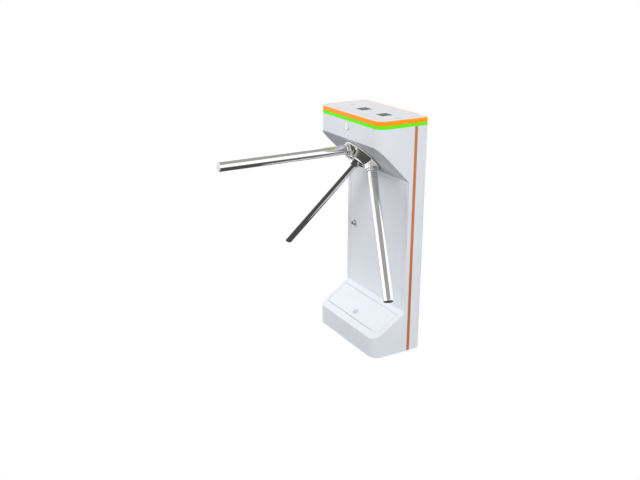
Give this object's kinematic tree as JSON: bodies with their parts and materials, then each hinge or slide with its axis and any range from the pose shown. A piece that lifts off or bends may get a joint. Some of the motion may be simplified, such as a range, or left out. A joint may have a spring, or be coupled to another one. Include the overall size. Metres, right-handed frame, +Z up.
{
  "type": "visitor counter turnstile",
  "caption": "Waist-high tripod turnstile: slim cabinet with an overhanging head and a sloped foot, a light ring under a coloured rim, and polished tube arms that turn to count visitors.",
  "frame": {"origin": "centre of the floor anchor pattern, on the floor under the cabinet's footprint", "axes": "+Z up, +X along the passage, -Y out over the passage, where the horizontal arm points"},
  "size_m": [0.8318, 0.79, 0.98],
  "materials": {
    "cabinet_paint": "fine powder coat, satin",
    "orange_rim": "satin",
    "seam_strip": "satin",
    "light_green": "frosted diffuser, lit",
    "top_panel": "satin",
    "reader_glass": "smoked, smooth",
    "dark_plastic": "moulded",
    "polished_steel": "polished stainless",
    "lock_chrome": "polished",
    "zinc_steel": "zinc plated",
    "seam_grey": "moulded",
    "cast_housing": "as cast",
    "machined_steel": "machined",
    "roller_nylon": "turned nylon",
    "coil_black": "wound coil under tape",
    "board_green": "solder mask"
  },
  "bodies": {
    "cabinet": {"base_plate": "zinc_steel", "front_shell": "cabinet_paint", "rear_shell": "cabinet_paint", "side_strip_left": "seam_strip", "side_strip_right": "seam_strip", "frame_posts": "zinc_steel", "head_frame": "zinc_steel", "light_ring": "light_green", "light_board": "board_green", "hub_seat": "seam_grey", "mechanism_housing": "cast_housing", "housing_bolts": "zinc_steel", "bearing_front": "machined_steel", "bearing_rear": "machined_steel", "solenoids": "coil_black", "damper_body": "zinc_steel", "lever_spring": "machined_steel", "electronics_tray": "zinc_steel", "control_board": "board_green", "power_supply": "zinc_steel", "counter_module": "dark_plastic", "head_lock_barrel": "lock_chrome", "lid_hinge_base": "zinc_steel", "door_hinge_base": "zinc_steel", "cover_hinge_base": "cabinet_paint"},
    "lid": {"top_rim": "orange_rim", "top_plate": "top_panel", "reader_windows": "reader_glass", "reader_modules": "dark_plastic", "lid_catch": "zinc_steel", "lid_hinge_wing": "zinc_steel"},
    "door": {"door_panel": "cabinet_paint", "door_lock_barrel": "lock_chrome", "door_hinge_wing": "zinc_steel"},
    "foot_cover": {"foot_cover": "cabinet_paint", "cover_lock_barrel": "lock_chrome", "cover_hinge_wing": "cabinet_paint"},
    "head_lock": {"head_lock_plug": "lock_chrome", "head_lock_cam": "zinc_steel"},
    "door_lock": {"door_lock_plug": "lock_chrome", "door_lock_cam": "zinc_steel"},
    "cover_lock": {"cover_lock_plug": "lock_chrome", "cover_lock_cam": "zinc_steel"},
    "tripod": {"tripod_hub": "polished_steel", "hub_cap": "polished_steel", "arm_tube_1": "polished_steel", "arm_tube_2": "polished_steel", "arm_tube_3": "polished_steel", "arm_caps": "polished_steel", "arm_collars": "polished_steel", "main_shaft": "machined_steel", "index_disc": "machined_steel", "drive_gear": "machined_steel"},
    "damper_pinion": {"damper_pinion": "machined_steel"},
    "pawl_left": {"pawl_left": "machined_steel"},
    "pawl_right": {"pawl_right": "machined_steel"},
    "plunger_left": {"plunger_left": "machined_steel"},
    "plunger_right": {"plunger_right": "machined_steel"},
    "centring_lever": {"centring_lever": "machined_steel"},
    "centring_roller": {"centring_roller": "roller_nylon"}
  },
  "joints": [
    {"name": "tripod_spin", "type": "hinge", "parent": "cabinet", "child": "tripod", "pos_m": [0, -0.04225, 0.80425], "axis": [0, -0.7071, -0.7071], "continuous": true},
    {"name": "lid_lift", "type": "hinge", "parent": "cabinet", "child": "lid", "pos_m": [0, 0.1192, 0.96315], "axis": [-1, 0, 0], "range_deg": [0, 75]},
    {"name": "door_swing", "type": "hinge", "parent": "cabinet", "child": "door", "pos_m": [0.193, 0.0365, 0.4525], "axis": [0, 0, 1], "range_deg": [0, 6]},
    {"name": "cover_lift", "type": "hinge", "parent": "cabinet", "child": "foot_cover", "pos_m": [0, 0.01166, 0.1646], "axis": [-1, 0, 0], "range_deg": [0, 44]},
    {"name": "head_lock_turn", "type": "hinge", "parent": "cabinet", "child": "head_lock", "pos_m": [0, -0.116, 0.925], "axis": [0, 1, 0], "range_deg": [0, 90]},
    {"name": "door_lock_turn", "type": "hinge", "parent": "door", "child": "door_lock", "pos_m": [-0.168, 0.0315, 0.457], "axis": [0, -1, 0], "range_deg": [0, 90]},
    {"name": "cover_lock_turn", "type": "hinge", "parent": "foot_cover", "child": "cover_lock", "pos_m": [0, -0.06475, 0.11685], "axis": [0, 0.5299, -0.848], "range_deg": [0, 90]},
    {"name": "damper_spin", "type": "hinge", "parent": "cabinet", "child": "damper_pinion", "pos_m": [0, 0.003, 0.759], "axis": [0, -0.7071, -0.7071], "continuous": true},
    {"name": "pawl_right_swing", "type": "hinge", "parent": "cabinet", "child": "pawl_right", "pos_m": [0.07, -0.00972, 0.77172], "axis": [0, -0.7071, -0.7071], "range_deg": [0, 6.5], "stiffness_Nm_per_rad": 0.5, "springref_deg": -11.46},
    {"name": "pawl_left_swing", "type": "hinge", "parent": "cabinet", "child": "pawl_left", "pos_m": [-0.07, -0.00972, 0.77172], "axis": [0, 0.7071, 0.7071], "range_deg": [0, 6.5], "stiffness_Nm_per_rad": 0.5, "springref_deg": -11.46},
    {"name": "plunger_right_push", "type": "slide", "parent": "cabinet", "child": "plunger_right", "axis": [1, 0, 0], "range_m": [0, 0.0025]},
    {"name": "plunger_left_push", "type": "slide", "parent": "cabinet", "child": "plunger_left", "axis": [-1, 0, 0], "range_m": [0, 0.0025]},
    {"name": "lever_swing", "type": "hinge", "parent": "cabinet", "child": "centring_lever", "pos_m": [0.052, -0.0868, 0.8488], "axis": [0, -0.7071, -0.7071], "range_deg": [0, 6]},
    {"name": "roller_spin", "type": "hinge", "parent": "centring_lever", "child": "centring_roller", "pos_m": [0, -0.08864, 0.85064], "axis": [0, -0.7071, -0.7071], "continuous": true}
  ],
  "couplings": [
    {"joint": "damper_spin", "follows": "tripod_spin", "ratio": -3},
    {"joint": "plunger_right_push", "follows": "pawl_right_swing", "m_per_rad": 0.02},
    {"joint": "plunger_left_push", "follows": "pawl_left_swing", "m_per_rad": 0.02}
  ]
}
